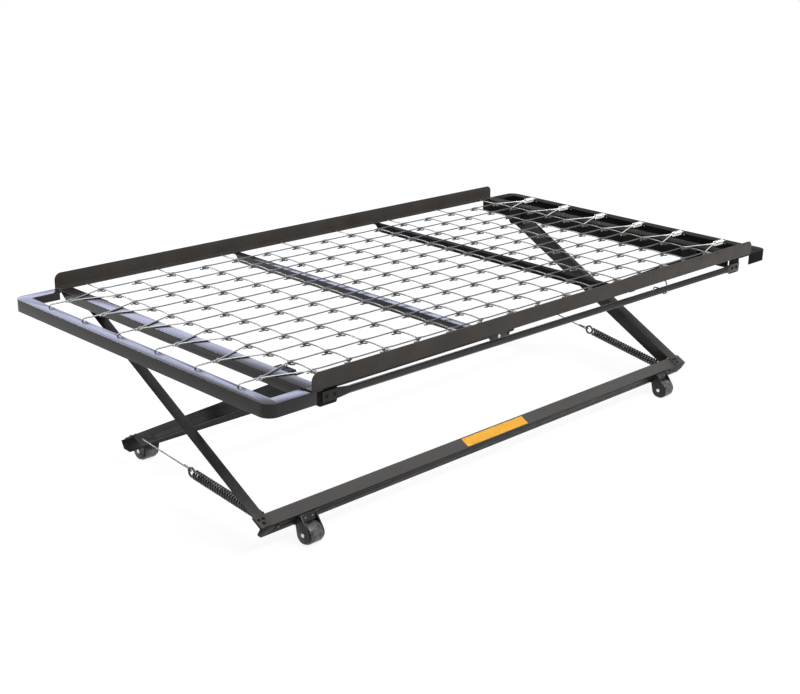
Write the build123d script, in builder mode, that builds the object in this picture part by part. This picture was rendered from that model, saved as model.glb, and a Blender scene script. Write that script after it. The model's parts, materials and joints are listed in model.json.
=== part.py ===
"""Pop-up trundle bed frame: a link-wire deck carried on two crossing leg frames.

Millimetres, +Z up, floor at Z = 0. X runs along the bed, +Y is the back.
The frame stands raised. Each leg frame swings on two pins under the far side
of the deck, so its low rail rolls outwards as the deck comes down.
"""

from math import cos, radians, sin
import os

from build123d import *

os.makedirs("parts", exist_ok=True)

# Deck
deck_length = 1895.0
deck_width = 980.0
steel = 3.0                  # wall of every angle and strap
end_flange = 33.0            # top flange of the bent end angle
end_drop = 31.0              # its outer flange, downwards
end_radius = 28.0
flange_return = 147.5        # how far the end angle's top runs back along the sides
web_return_left = 130.0      # how far its outer flange does
web_return_right = 96.0
corner_hole = 8.0
corner_hole_in = 46.0        # from the end face
corner_hole_side = 16.0      # from the side face

# Side rails
rail_height = 40.0
rail_flange = 22.0
rail_radius = 18.0
rail_in_left = 117.5         # left end of both rails, from the end face
rail_in_right_front = 91.5
rail_in_right_back = 117.5

# Cross angles near the ends and the two in the middle
cross_in = 115.5             # outer face of the hanging flange, from the end face
cross_flange = 38.0
cross_drop = 21.0
middle_at = 272.0            # hanging flange of the middle ones, from the middle
middle_flange = 22.0
middle_drop = 22.0
end_plate_top = 75.0
end_plate_foot = 46.0
end_plate_drop = 16.0
end_plate_lead = 15.0        # end plate past the hanging flange

# Link wires
wire = 3.0
long_wires = 12
cross_wires = 15
net_in_side = 89.6           # outer long wires, from the side face
net_in_end = 193.6           # outer cross wires, from the end face
tie_hole = 5.0
tie_hole_in = 26.0           # tie holes, from the end face
tie_hook = 6.0               # hook under the end angle
tie_apex_in = 85.5           # where each tie spreads, from the end face
tie_gap = 0.7                # from a tie's end to the net
side_hook_in = 5.0           # side ties, over the rail's flange
side_tie_gap = 0.1
helical = 9.0                # outside diameter of the little springs
helical_length = 32.0
helical_end_in = 65.5        # their middles, from the end face
helical_side_in = 66.0

# Leg frames
leg_pitch = 28.17            # slope of a leg when raised, degrees
foot_at = 314.6              # foot of each frame, from the middle
pivot_drop = 42.7            # pin below the deck face
pivot_depth = 15.0           # pin below the leg's back, square to it
leg_reach = 735.0            # along the leg from the foot to the pin
leg_beyond = 22.0            # leg past the pin
leg_web = 33.0
leg_flange = 27.0
foot_cut = 42.0              # where the leg's web starts, along the leg
foot_slope = 26.0
foot_round = 14.0            # corner of the leg's web past the pin
front_leg_in = 151.5         # inner face of the front frame's leg webs, from the end face
rear_leg_in = 188.9          # outer face of the rear frame's leg webs
low_flange = 34.4
low_web = 36.0
low_chamfer = 13.0
front_low_in_left = 121.5    # ends of the front low rail, from the end faces
front_low_in_right = 101.5
rear_low_in = 177.5

# Pins and the straps that hold them
pin_diameter = 9.0
pin_clearance = 0.1
pin_head = 15.0
strap_width = 50.0
strap_below = 16.0           # strap under the pin's axis
front_spacer = 7.0           # between a strap and its leg
rear_spacer = 6.4
spacer_gap = 0.5
head_gap = 0.6
head_depth = 3.0

# Casters
wheel_radius = 25.0
wheel_width = 38.0
hub_ahead = 33.1             # hub in front of the low rail's web
hub_below = 39.7             # hub below the low rail's top face
wheel_sides = 24
shoulder = 2.5
dish_depth = 4.5
dish_radius = 20.0
boss_radius = 9.0
caster_in_left = 259.5       # middle of each wheel, from the end face
caster_in_right = 229.5
caster_plate = 56.0
cheek_gap = 2.0
cheek_lug = 9.5              # round the axle
axle_diameter = 7.0
hub_clearance = 0.1

# Stay tube under the front rail
tube_diameter = 17.0
tube_in = 10.0               # tube axis from the side face
tube_drop_left = 23.0        # its axis below the deck face
tube_drop_right = 30.0
stay_in_left = 149.5         # outer faces of its brackets, from the end face
stay_in_right = 132.5
stay_plate = 48.0
stay_height = 44.0
stay_flange = 18.0
tube_flat = 4.0
tube_taper = 28.0

# Tension springs between the frames
spring_in = 171.5            # from the end face
spring_anchor = 14.0         # anchor hole below the low rail's top face
spring_hole = 8.0
hook_left = 108.4            # hook hole along the rear leg from its foot
hook_right = 178.3
hook_depth = 20.0
coil_diameter = 22.0
coil_length = 255.0
coil_start = 46.0            # from the anchor hole to the coil
coil_ridges = 16
coil_sides = 12
coil_groove = 1.5
coil_wire = 3.0
eye_diameter = 14.0
rod_diameter = 3.6
seat_gap = 0.3

half_length = deck_length / 2
half_width = deck_width / 2
slope_sin = sin(radians(leg_pitch))
slope_cos = cos(radians(leg_pitch))

rail_left = half_length - rail_in_left
rail_right_front = half_length - rail_in_right_front
rail_right_back = half_length - rail_in_right_back
cross_out = half_length - cross_in
long_pitch = (deck_width - 2 * net_in_side) / (long_wires - 1)
cross_pitch = (deck_length - 2 * net_in_end) / (cross_wires - 1)
front_leg_at = half_length - front_leg_in
rear_leg_at = half_length - rear_leg_in
front_strap_at = front_leg_at - front_spacer - steel
rear_strap_at = rear_leg_at + rear_spacer
caster_left = half_length - caster_in_left
caster_right = half_length - caster_in_right
spring_at = half_length - spring_in

foot_y = -foot_at
pivot_y = foot_y + leg_reach * slope_cos + pivot_depth * slope_sin
foot_drop = pivot_drop + leg_reach * slope_sin - pivot_depth * slope_cos
hub_drop = foot_drop + hub_ahead * slope_sin + hub_below * slope_cos
deck_top = hub_drop + wheel_radius
foot_z = deck_top - foot_drop
wire_z = deck_top + steel + wire / 2
leg_length = leg_reach + leg_beyond

# Side views of the two frames: X runs up the leg, Y stands square to its back.
front_side = Plane(origin=(0, foot_y, foot_z), x_dir=(0, slope_cos, slope_sin), z_dir=(1, 0, 0))
rear_side = Plane(origin=(0, -foot_y, foot_z), x_dir=(0, -slope_cos, slope_sin), z_dir=(-1, 0, 0))


def back_of(side_view):
    """Plane on the leg's back, seen from above: X along the bed, Y up the leg."""
    return Plane(origin=side_view.origin, x_dir=side_view.z_dir, z_dir=side_view.y_dir)


def face_of(side_view):
    """Plane on the low rail's outer face: X along the bed, Y up the face."""
    return Plane(origin=side_view.origin, x_dir=side_view.z_dir, z_dir=side_view.x_dir * -1)


def save(part, name):
    """Label a finished piece and export it."""
    part.label = name
    export_step(part, f"parts/{name}.step")


def straight_wire(start, end, diameter):
    """Add a straight four-sided wire to the piece that is being built."""
    run = Vector(end) - Vector(start)
    with BuildSketch(Plane(origin=start, z_dir=run)) as section:
        RegularPolygon(diameter / 2, 4)
    extrude(section.sketch, amount=run.length)


def end_angle(name, side, web_return):
    """Bent angle round one end: top flange with its holes, hanging outer flange."""
    end_x = side * half_length
    inner_x = end_x - side * steel
    back_x = end_x - side * web_return
    tie_x = end_x - side * tie_hole_in
    hole_x = end_x - side * corner_hole_in
    hole_y = half_width - corner_hole_side
    outer = 0 if side < 0 else -1
    with BuildPart() as angle:
        with BuildSketch(Plane.XY.offset(deck_top - steel)):
            with Locations((end_x - side * flange_return / 2, 0)):
                Rectangle(flange_return, deck_width)
            fillet(vertices().group_by(Axis.X)[outer], end_radius)
            with Locations((end_x - side * (end_flange + flange_return / 2), 0)):
                Rectangle(flange_return, deck_width - 2 * end_flange, mode=Mode.SUBTRACT)
            with Locations((tie_x, 0)):
                with GridLocations(1, 2 * long_pitch, 1, long_wires // 2):
                    RegularPolygon(tie_hole / 2, 8, mode=Mode.SUBTRACT)
            if side > 0:
                with Locations((hole_x, -hole_y), (hole_x, hole_y)):
                    Circle(corner_hole / 2, mode=Mode.SUBTRACT)
        extrude(amount=steel)
        with BuildSketch(Plane.XY.offset(deck_top - end_drop)):
            with BuildLine():
                outside = FilletPolyline(
                    (back_x, -half_width),
                    (end_x, -half_width),
                    (end_x, half_width),
                    (back_x, half_width),
                    radius=end_radius,
                )
                inside = FilletPolyline(
                    (back_x, steel - half_width),
                    (inner_x, steel - half_width),
                    (inner_x, half_width - steel),
                    (back_x, half_width - steel),
                    radius=end_radius - steel,
                )
                Line(outside @ 0, inside @ 0)
                Line(outside @ 1, inside @ 1)
            make_face()
        extrude(amount=end_drop - steel / 2)
    save(angle.part, name)


def side_rail(name, side, right_end):
    """Angle along one side: tall flange up, narrow flange inwards."""
    face_y = side * half_width
    length = rail_left + right_end
    middle = (right_end - rail_left) / 2
    with BuildPart() as rail:
        with BuildSketch(Plane.XZ.offset(-face_y)):
            with Locations((middle, deck_top + rail_height / 2)):
                Rectangle(length, rail_height)
            fillet(vertices().group_by(Axis.Y)[-1], rail_radius)
        extrude(amount=side * steel)
        with BuildSketch(Plane.XY.offset(deck_top)):
            with Locations((middle, face_y - side * rail_flange / 2)):
                Rectangle(length, rail_flange)
        extrude(amount=steel)
    save(rail.part, name)


def cross_angle(name, side):
    """Angle across the deck near one end, its flange lying on the end angle's."""
    top = deck_top + steel
    reach = half_width - rail_flange - 1
    web_reach = half_width - end_flange - 1
    with BuildPart() as angle:
        with BuildSketch(Plane.XY.offset(top)):
            with Locations((side * (cross_out - cross_flange / 2), 0)):
                Rectangle(cross_flange, 2 * reach)
        extrude(amount=-steel)
        with BuildSketch(Plane.YZ.offset(side * cross_out)):
            with BuildLine():
                Polyline(
                    (-reach, top),
                    (-reach, top - steel),
                    (-web_reach, top - steel),
                    (-web_reach + cross_drop, top - cross_drop),
                    (web_reach - cross_drop, top - cross_drop),
                    (web_reach, top - steel),
                    (reach, top - steel),
                    (reach, top),
                    close=True,
                )
            make_face()
        extrude(amount=-side * steel)
    save(angle.part, name)


def middle_cross(name, web_x):
    """Small angle under both rails, with a hanging plate at each end."""
    reach = half_width - steel
    web_reach = half_width - rail_flange
    with BuildPart() as angle:
        with BuildSketch(Plane.XY.offset(deck_top)):
            with Locations((web_x + middle_flange / 2, 0)):
                Rectangle(middle_flange, 2 * reach)
        extrude(amount=-steel)
        with BuildSketch(Plane.YZ.offset(web_x)):
            with BuildLine():
                Polyline(
                    (-web_reach, deck_top),
                    (-web_reach + middle_drop, deck_top - middle_drop),
                    (web_reach - middle_drop, deck_top - middle_drop),
                    (web_reach, deck_top),
                    close=True,
                )
            make_face()
        extrude(amount=steel)
        for side in (-1, 1):
            with BuildSketch(Plane.XZ.offset(-side * reach)):
                with BuildLine():
                    Polyline(
                        (web_x - end_plate_lead, deck_top),
                        (web_x - end_plate_lead + end_plate_top, deck_top),
                        (web_x + end_plate_foot, deck_top - end_plate_drop),
                        (web_x, deck_top - end_plate_drop),
                        close=True,
                    )
                make_face()
            extrude(amount=side * steel)
    save(angle.part, name)


def link_wires():
    """The wire net: lengthwise links and the cross links that tie them."""
    long_length = (cross_wires - 1) * cross_pitch + wire
    cross_length = (long_wires - 1) * long_pitch + wire
    with BuildPart() as net:
        with Locations((0, 0, wire_z)):
            with GridLocations(1, long_pitch, 1, long_wires):
                Box(long_length, wire, wire)
            with GridLocations(cross_pitch, 1, cross_wires, 1):
                Box(wire, cross_length, wire)
    save(net.part, "link_wires")


def end_ties(name, side, sprung):
    """Ties from the holes of one end angle to pairs of long wires."""
    net_x = side * (half_length - net_in_end + wire / 2 + tie_gap)
    hole_x = side * (half_length - tie_hole_in)
    apex_x = side * (half_length - tie_apex_in)
    helical_x = side * (half_length - helical_end_in)
    low_z = deck_top - steel - wire / 2
    with BuildPart() as ties:
        for i in range(long_wires // 2):
            tie_y = (i - (long_wires // 2 - 1) / 2) * 2 * long_pitch
            hook_x = hole_x + side * tie_hook
            straight_wire((hook_x, tie_y, low_z), (hole_x - side, tie_y, low_z), wire)
            straight_wire((hole_x, tie_y, low_z), (hole_x, tie_y, wire_z), wire)
            straight_wire((hole_x + side, tie_y, wire_z), (apex_x, tie_y, wire_z), wire)
            for hand in (-1, 1):
                knot = (net_x, tie_y + hand * long_pitch / 2, wire_z)
                straight_wire((apex_x, tie_y, wire_z), knot, wire)
            if sprung:
                with BuildSketch(Plane.YZ.offset(helical_x)):
                    with Locations((tie_y, wire_z)):
                        RegularPolygon(helical / 2, 8)
                extrude(amount=helical_length / 2, both=True)
    save(ties.part, name)


def side_ties(name, side, sprung):
    """Hooks or little springs from one side rail to every second cross wire."""
    rail_y = side * (half_width - rail_flange + side_hook_in)
    net_y = side * (half_width - net_in_side + wire / 2 + side_tie_gap)
    helical_y = side * (half_width - helical_side_in)
    with BuildPart() as ties:
        for i in range(0, cross_wires, 2):
            tie_x = (i - (cross_wires - 1) / 2) * cross_pitch
            straight_wire((tie_x, rail_y, wire_z), (tie_x, net_y, wire_z), wire)
            if sprung:
                with BuildSketch(Plane.XZ.offset(-helical_y)):
                    with Locations((tie_x, wire_z)):
                        RegularPolygon(helical / 2, 8)
                extrude(amount=helical_length / 2, both=True)
    save(ties.part, name)


def pivot_strap(name, side, back, strap_x, web_x):
    """Strap bent down from the cross angle with its pin, spacer and pin head."""
    outer = cross_out - steel - 2
    pin_y = back * pivot_y
    pin_z = deck_top - pivot_drop
    toward = 1 if web_x > strap_x else -1
    head_start = web_x + toward * (steel + head_gap)
    strap_near = strap_x + (steel if toward > 0 else 0)
    with BuildPart() as strap:
        with BuildSketch(Plane.XY.offset(deck_top)):
            with Locations((side * (outer + strap_x) / 2, pin_y)):
                Rectangle(outer - strap_x, strap_width)
        extrude(amount=-steel)
        with BuildSketch(Plane.YZ.offset(side * strap_x)):
            with Locations((pin_y, (deck_top + pin_z - strap_below) / 2)):
                Rectangle(strap_width, deck_top - pin_z + strap_below)
            fillet(vertices().group_by(Axis.Y)[0], strap_below)
        extrude(amount=side * steel)
        with BuildSketch(Plane.YZ.offset(side * (strap_x + steel / 2))):
            with Locations((pin_y, pin_z)):
                Circle(pin_diameter / 2)
        extrude(amount=side * (head_start + toward - strap_x - steel / 2))
        for start, end in (
            (strap_near, web_x - toward * spacer_gap),
            (head_start, head_start + toward * head_depth),
        ):
            with BuildSketch(Plane.YZ.offset(side * start)):
                with Locations((pin_y, pin_z)):
                    RegularPolygon(pin_head / 2, 12)
            extrude(amount=side * (end - start))
    save(strap.part, name)


def leg(name, side_view, web_at, toward, hook_along):
    """Angle leg, cut away over its foot, with its pin hole and spring hole."""
    with BuildPart() as angle:
        with BuildSketch(side_view.offset(web_at)):
            with BuildLine():
                Polyline(
                    (foot_cut, steel),
                    (leg_length, steel),
                    (leg_length, steel - leg_web),
                    (foot_cut + foot_slope, steel - leg_web),
                    (foot_cut, 0),
                    close=True,
                )
            make_face()
            fillet(vertices().group_by(Axis.X)[-1].sort_by(Axis.Y)[0], foot_round)
            with Locations((leg_reach, -pivot_depth)):
                Circle(pin_diameter / 2 + pin_clearance, mode=Mode.SUBTRACT)
            if hook_along:
                with Locations((hook_along, -hook_depth)):
                    Circle(spring_hole / 2, mode=Mode.SUBTRACT)
        extrude(amount=toward * steel)
        with BuildSketch(side_view.offset(web_at)):
            with Locations((leg_length / 2, steel / 2)):
                Rectangle(leg_length, steel)
        extrude(amount=toward * leg_flange)
    save(angle.part, name)


def low_rail(name, side_view, left_in, right_in, anchors):
    """Angle rail across the feet of one frame, with the springs' anchor holes."""
    length = deck_length - left_in - right_in
    middle = (left_in - right_in) / 2
    with BuildPart() as rail:
        with BuildSketch(face_of(side_view)):
            with Locations((middle, -low_web / 2)):
                Rectangle(length, low_web)
            chamfer(vertices().group_by(Axis.Y)[0], low_chamfer)
            if anchors:
                with Locations((-spring_at, -spring_anchor), (spring_at, -spring_anchor)):
                    Circle(spring_hole / 2, mode=Mode.SUBTRACT)
        extrude(amount=-steel)
        with BuildSketch(back_of(side_view)):
            with Locations((middle, low_flange / 2)):
                Rectangle(length, low_flange)
        extrude(amount=-steel)
    save(rail.part, name)


def caster_fork(name, side_view, middle):
    """Plate on the low rail's outer face, two cheeks and the axle between them."""
    half = wheel_width / 2 + cheek_gap + steel
    with BuildPart() as fork:
        with BuildSketch(face_of(side_view)):
            with Locations((middle, -low_web / 2 - 1)):
                Rectangle(caster_plate, low_web - 4)
        extrude(amount=steel)
        for hand in (-1, 1):
            with BuildSketch(side_view.offset(middle + hand * half)):
                with BuildLine():
                    Polyline(
                        (-steel, -4),
                        (-steel, -low_web),
                        (3 - hub_ahead, -hub_below - 9),
                        (-hub_ahead - 7, -hub_below + 6),
                        close=True,
                    )
                make_face()
                with Locations((-hub_ahead, -hub_below)):
                    RegularPolygon(cheek_lug, 12)
            extrude(amount=-hand * steel)
        with BuildSketch(side_view.offset(middle)):
            with Locations((-hub_ahead, -hub_below)):
                Circle(axle_diameter / 2)
        extrude(amount=half, both=True)
    save(fork.part, name)


def wheel(name, side_view, middle):
    """Wide tread with bevelled shoulders and dished faces, bored for its axle."""
    half = wheel_width / 2
    hub = side_view.from_local_coords(Vector(-hub_ahead, -hub_below, middle))
    turn = 180 / wheel_sides - 90
    with BuildPart() as roller:
        for hand in (-1, 1):
            outward = Plane(origin=hub, x_dir=(0, 1, 0), z_dir=(hand, 0, 0))
            with BuildSketch(outward):
                RegularPolygon(wheel_radius, wheel_sides, major_radius=False, rotation=turn)
            extrude(amount=half - shoulder)
            for depth in (shoulder, 0):
                with BuildSketch(outward.offset(half - depth)):
                    rim = wheel_radius - shoulder + depth
                    RegularPolygon(rim, wheel_sides, major_radius=False, rotation=turn)
            loft(ruled=True)
            with BuildSketch(outward.offset(half)):
                RegularPolygon(dish_radius, wheel_sides, major_radius=False, rotation=turn)
                RegularPolygon(boss_radius, wheel_sides // 2, mode=Mode.SUBTRACT)
            extrude(amount=-dish_depth, mode=Mode.SUBTRACT)
        with BuildSketch(Plane(origin=hub, z_dir=(1, 0, 0))):
            Circle(axle_diameter / 2 + hub_clearance)
        extrude(amount=half, both=True, mode=Mode.SUBTRACT)
    save(roller.part, name)


def stay_bracket(name, side, out, top):
    """Small bracket under one end of the front rail."""
    face_y = -half_width + tube_in + tube_flat / 2
    with BuildPart() as bracket:
        with BuildSketch(Plane.XZ.offset(-face_y)):
            with Locations((side * (out - stay_plate / 2), top - stay_height / 2)):
                Rectangle(stay_plate, stay_height)
            fillet(vertices().group_by(Axis.Y)[0], 5)
        extrude(amount=-steel)
        with BuildSketch(Plane.YZ.offset(side * out)):
            with Locations((face_y + stay_flange / 2, top - stay_height / 2)):
                Rectangle(stay_flange, stay_height)
            fillet(vertices().group_by(Axis.X)[-1].sort_by(Axis.Y)[0], 8)
        extrude(amount=-side * steel)
        with BuildSketch(Plane.XY.offset(top)):
            with Locations((side * (out - stay_plate / 2), face_y + stay_flange / 2)):
                Rectangle(stay_plate, stay_flange)
        extrude(amount=-steel)
    save(bracket.part, name)


def stay_tube():
    """Round tube under the front rail, its ends pressed flat for their rivets."""
    left_x = 4 - half_length + stay_in_left
    right_x = half_length - stay_in_right - 4
    flat = stay_plate - 3
    flat_height = tube_diameter * 1.45
    corner = tube_flat / 2 - 0.1
    run = Vector(right_x - left_x, 0, tube_drop_left - tube_drop_right)
    start = Vector(left_x, -half_width + tube_in, deck_top - tube_drop_left)
    along = Plane(origin=start, x_dir=(0, 1, 0), z_dir=run)
    with BuildPart() as tube:
        with BuildSketch(along.offset(flat + tube_taper)):
            Circle(tube_diameter / 2)
        extrude(amount=run.length - 2 * (flat + tube_taper))
        for end, hand in ((0, 1), (run.length, -1)):
            with BuildSketch(along.offset(end + hand * flat)):
                RectangleRounded(tube_flat, flat_height, corner)
            with BuildSketch(along.offset(end + hand * (flat + tube_taper))):
                RectangleRounded(tube_diameter, tube_diameter, tube_diameter / 2 - 0.1)
            loft()
            with BuildSketch(along.offset(end)):
                RectangleRounded(tube_flat, flat_height, corner)
            extrude(amount=hand * flat)
    save(tube.part, "stay_tube")


def spring(name, side, hook_along):
    """Tension spring along one side: hook, close coil and eye, then a hooked rod."""
    anchor = front_side.from_local_coords(Vector(steel / 2, -spring_anchor, side * spring_at))
    hole = rear_side.from_local_coords(Vector(hook_along, -hook_depth, -side * spring_at))
    run = hole - anchor
    along = Plane(origin=anchor, x_dir=run, z_dir=(1, 0, 0))
    coil_end = coil_start + coil_length
    ridge = coil_length / coil_ridges
    base = Plane(origin=anchor, x_dir=(1, 0, 0), z_dir=run)
    eye_at = coil_end + eye_diameter / 2
    bar_out = steel / 2 + coil_wire / 2 + 0.9
    with BuildPart() as coil:
        with BuildSketch(along.offset(-7)):
            with Locations((-bar_out, 0)):
                RegularPolygon(coil_wire / 2, 6)
        extrude(amount=14)
        with BuildSketch(Plane(origin=along.from_local_coords(Vector(-bar_out, 0, 0)), z_dir=run)):
            RegularPolygon(coil_wire / 2, 6)
        extrude(amount=bar_out + coil_start + 1)
        for i in range(2 * coil_ridges + 1):
            with BuildSketch(base.offset(coil_start + i * ridge / 2)):
                RegularPolygon(coil_diameter / 2 - coil_groove * ((i + 1) % 2), coil_sides)
        loft(ruled=True)
        with BuildSketch(along.offset(-coil_wire / 2)):
            with Locations((eye_at, 0)):
                RegularPolygon(eye_diameter / 2 + 0.5, coil_sides)
                Circle(eye_diameter / 2 - coil_wire, mode=Mode.SUBTRACT)
        extrude(amount=coil_wire)
    save(coil.part, f"{name}_coil")

    inner_x = -side * (coil_wire / 2 + rod_diameter / 2 + 0.7)
    far_side = eye_diameter / 2 - coil_wire - rod_diameter / 2 - seat_gap
    rod_start = eye_at + far_side
    near_web = spring_at - rear_leg_at - 0.7
    with BuildPart() as rod:
        first = along.from_local_coords(Vector(rod_start - rod_diameter / 2, 0, inner_x))
        last = along.from_local_coords(Vector(run.length + rod_diameter / 2, 0, inner_x))
        straight_wire(first, last, rod_diameter)
        with BuildSketch(along.offset(inner_x)):
            with Locations((rod_start, 0)):
                RegularPolygon(rod_diameter / 2, 6)
        extrude(amount=side * 9)
        with BuildSketch(along.offset(inner_x)):
            with Locations((run.length, 0)):
                RegularPolygon(rod_diameter / 2, 6)
        extrude(amount=-side * (near_web - abs(inner_x)))
    save(rod.part, f"{name}_rod")


end_angle("end_angle_left", -1, web_return_left)
end_angle("end_angle_right", 1, web_return_right)
side_rail("front_side_rail", -1, rail_right_front)
side_rail("back_side_rail", 1, rail_right_back)
cross_angle("cross_angle_left", -1)
cross_angle("cross_angle_right", 1)
middle_cross("middle_cross_left", -middle_at)
middle_cross("middle_cross_right", middle_at)
link_wires()
end_ties("left_end_ties", -1, False)
end_ties("right_end_springs", 1, True)
side_ties("front_side_springs", -1, True)
side_ties("back_side_hooks", 1, False)
stay_tube()
stay_bracket("stay_bracket_left", -1, half_length - stay_in_left, deck_top)
stay_bracket("stay_bracket_right", 1, half_length - stay_in_right, deck_top - steel)
pivot_strap("front_pivot_strap_left", -1, 1, front_strap_at, front_leg_at)
pivot_strap("front_pivot_strap_right", 1, 1, front_strap_at, front_leg_at)
pivot_strap("rear_pivot_strap_left", -1, -1, rear_strap_at, rear_leg_at)
pivot_strap("rear_pivot_strap_right", 1, -1, rear_strap_at, rear_leg_at)

leg("front_leg_left", front_side, -front_leg_at, -1, None)
leg("front_leg_right", front_side, front_leg_at, 1, None)
leg("rear_leg_left", rear_side, rear_leg_at, -1, hook_left)
leg("rear_leg_right", rear_side, -rear_leg_at, 1, hook_right)
low_rail("front_low_rail", front_side, front_low_in_left, front_low_in_right, True)
low_rail("rear_low_rail", rear_side, rear_low_in, rear_low_in, False)

for frame, side_view, left_sign in (("front", front_side, -1), ("rear", rear_side, 1)):
    for hand, middle in (("left", left_sign * caster_left), ("right", -left_sign * caster_right)):
        caster_fork(f"{frame}_caster_fork_{hand}", side_view, middle)
        wheel(f"{frame}_wheel_{hand}", side_view, middle)

spring("left_spring", -1, hook_left)
spring("right_spring", 1, hook_right)
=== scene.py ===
import json
import math

import bmesh
import bpy
from mathutils import Matrix, Vector
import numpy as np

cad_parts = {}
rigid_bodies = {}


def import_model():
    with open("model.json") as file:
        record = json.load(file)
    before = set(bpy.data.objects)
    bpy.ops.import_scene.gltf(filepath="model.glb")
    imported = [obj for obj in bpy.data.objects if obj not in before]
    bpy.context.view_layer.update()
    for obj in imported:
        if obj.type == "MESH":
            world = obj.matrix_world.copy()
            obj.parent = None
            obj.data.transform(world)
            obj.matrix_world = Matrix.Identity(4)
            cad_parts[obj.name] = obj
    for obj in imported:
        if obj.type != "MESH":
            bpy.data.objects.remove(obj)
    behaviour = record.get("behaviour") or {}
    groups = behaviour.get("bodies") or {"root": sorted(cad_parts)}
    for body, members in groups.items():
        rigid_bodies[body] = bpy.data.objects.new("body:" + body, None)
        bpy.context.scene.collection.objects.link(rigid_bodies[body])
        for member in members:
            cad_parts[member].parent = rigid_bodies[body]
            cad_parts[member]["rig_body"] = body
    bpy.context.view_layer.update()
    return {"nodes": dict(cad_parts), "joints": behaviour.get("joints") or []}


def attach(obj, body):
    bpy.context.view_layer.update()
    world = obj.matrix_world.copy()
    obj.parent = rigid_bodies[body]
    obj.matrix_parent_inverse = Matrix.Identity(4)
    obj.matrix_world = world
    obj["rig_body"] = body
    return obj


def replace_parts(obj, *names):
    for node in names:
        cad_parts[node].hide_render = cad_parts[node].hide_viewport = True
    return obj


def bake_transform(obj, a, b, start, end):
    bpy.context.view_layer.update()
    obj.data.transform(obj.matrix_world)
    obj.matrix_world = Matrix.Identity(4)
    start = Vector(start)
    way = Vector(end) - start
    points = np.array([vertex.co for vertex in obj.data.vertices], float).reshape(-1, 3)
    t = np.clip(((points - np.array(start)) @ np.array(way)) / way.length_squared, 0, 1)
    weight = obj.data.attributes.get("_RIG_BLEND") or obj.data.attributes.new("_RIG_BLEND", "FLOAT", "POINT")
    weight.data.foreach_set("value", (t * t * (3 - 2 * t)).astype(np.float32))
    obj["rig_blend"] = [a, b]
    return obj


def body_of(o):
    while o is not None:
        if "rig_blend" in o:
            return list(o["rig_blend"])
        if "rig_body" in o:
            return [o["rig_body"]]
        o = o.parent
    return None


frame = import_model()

scene = bpy.context.scene
nodes = frame["nodes"]
joint = {j["name"]: j for j in frame["joints"]}

# Deck and leg frames, in metres. The heights follow from the leg hinge.
END_X = 0.9475
SIDE_Y = 0.490
STEEL = 0.003
PITCH = math.radians(28.17)  # slope of the raised legs
PIVOT_Y, PIVOT_Z = joint["front_leg_hinge"]["pos_m"][1:]
TOP = PIVOT_Z + 0.0427
REACH, DEPTH = 0.735, 0.015
LEG_END = REACH + 0.022
LEG_X, LEG_WEB_DOWN = 0.796, 0.033
CROSS_FLANGE = 0.038
FOOT_Y = PIVOT_Y - REACH * math.cos(PITCH) - DEPTH * math.sin(PITCH)
FOOT_Z = PIVOT_Z - REACH * math.sin(PITCH) + DEPTH * math.cos(PITCH)
UP = Vector((0, math.cos(PITCH), math.sin(PITCH)))
OUT = Vector((0, -math.sin(PITCH), math.cos(PITCH)))

# Casters
HUB_S, HUB_N = -0.0331, -0.0397
CASTER_X = {"left": -0.688, "right": 0.718}
WHEEL_HALF, WHEEL_R = 0.019, 0.025
CHEEK_IN, CHEEK_OUT = 0.021, 0.024
CHEEK_R = 0.0215
HOOD_IN_R, HOOD_OUT_R, AXLE_R = 0.0272, 0.0295, 0.0034
PLATE_DOWN, PLATE_HALF = 0.035, 0.028

# Link wires
LONG_PITCH, CROSS_PITCH = 0.0728, 0.1077
LONG_Y = [(i - 5.5) * LONG_PITCH for i in range(12)]
CROSS_X = [(i - 7) * CROSS_PITCH for i in range(15)]
NET_Z = TOP + 0.0045
LINK_R = 0.00172
TIE_R = 0.0018
TIE_Y = [(i - 2.5) * 2 * LONG_PITCH for i in range(6)]
TIE_HOLE_IN = 0.026
RAIL_HOLE_IN = 0.022
SMALL_TURNS = 13
BACK_HOOK_R, TUBE_HOOK_R = 0.0019, 0.0018
APEX_X = 0.862

# Tension springs
SPRING_X = 0.776
HOOK_S = {"left": 0.1084, "right": 0.1783}
COIL_START, COIL_END = 0.046, 0.301
COIL_R, COIL_WIRE, COIL_TURNS = 0.0095, 0.0030, 28
HOOK_WIRE = 0.0024
EYE_R = 0.0115
ROD_R = 0.0018

# Heads, each as its radius and height
RIVET_HEAD = (0.0042, 0.0022)
BRACKET_HEAD = (0.0042, 0.002)
CROSS_PLATE_HEAD = (0.005, 0.0022)
CASTER_PLATE_HEAD = (0.0032, 0.0016)
AXLE_HEAD = (0.0056, 0.0026)

# Studio
FLOOR_R, FLOOR_FADE_R = 7, 6
PHOTO_WIDTH = 800.0


def side(frame_name, s, n, x):
    """A point in a leg frame's side view: along the leg, square to its back, and x."""
    hand = 1 if frame_name == "front" else -1
    return Vector((x, hand * (FOOT_Y + s * UP.y + n * OUT.y), FOOT_Z + s * UP.z + n * OUT.z))


def side_dir(frame_name, s, n):
    hand = 1 if frame_name == "front" else -1
    return Vector((0, hand * (s * UP.y + n * OUT.y), s * UP.z + n * OUT.z)).normalized()


def material(name, color, rough, metal=0.0, spec=0.5):
    mat = bpy.data.materials.new(name)
    mat.use_nodes = True
    bsdf = mat.node_tree.nodes["Principled BSDF"]
    bsdf.inputs["Base Color"].default_value = (*color, 1)
    bsdf.inputs["Roughness"].default_value = rough
    bsdf.inputs["Metallic"].default_value = metal
    bsdf.inputs["Specular IOR Level"].default_value = spec
    return mat, mat.node_tree, bsdf


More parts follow.
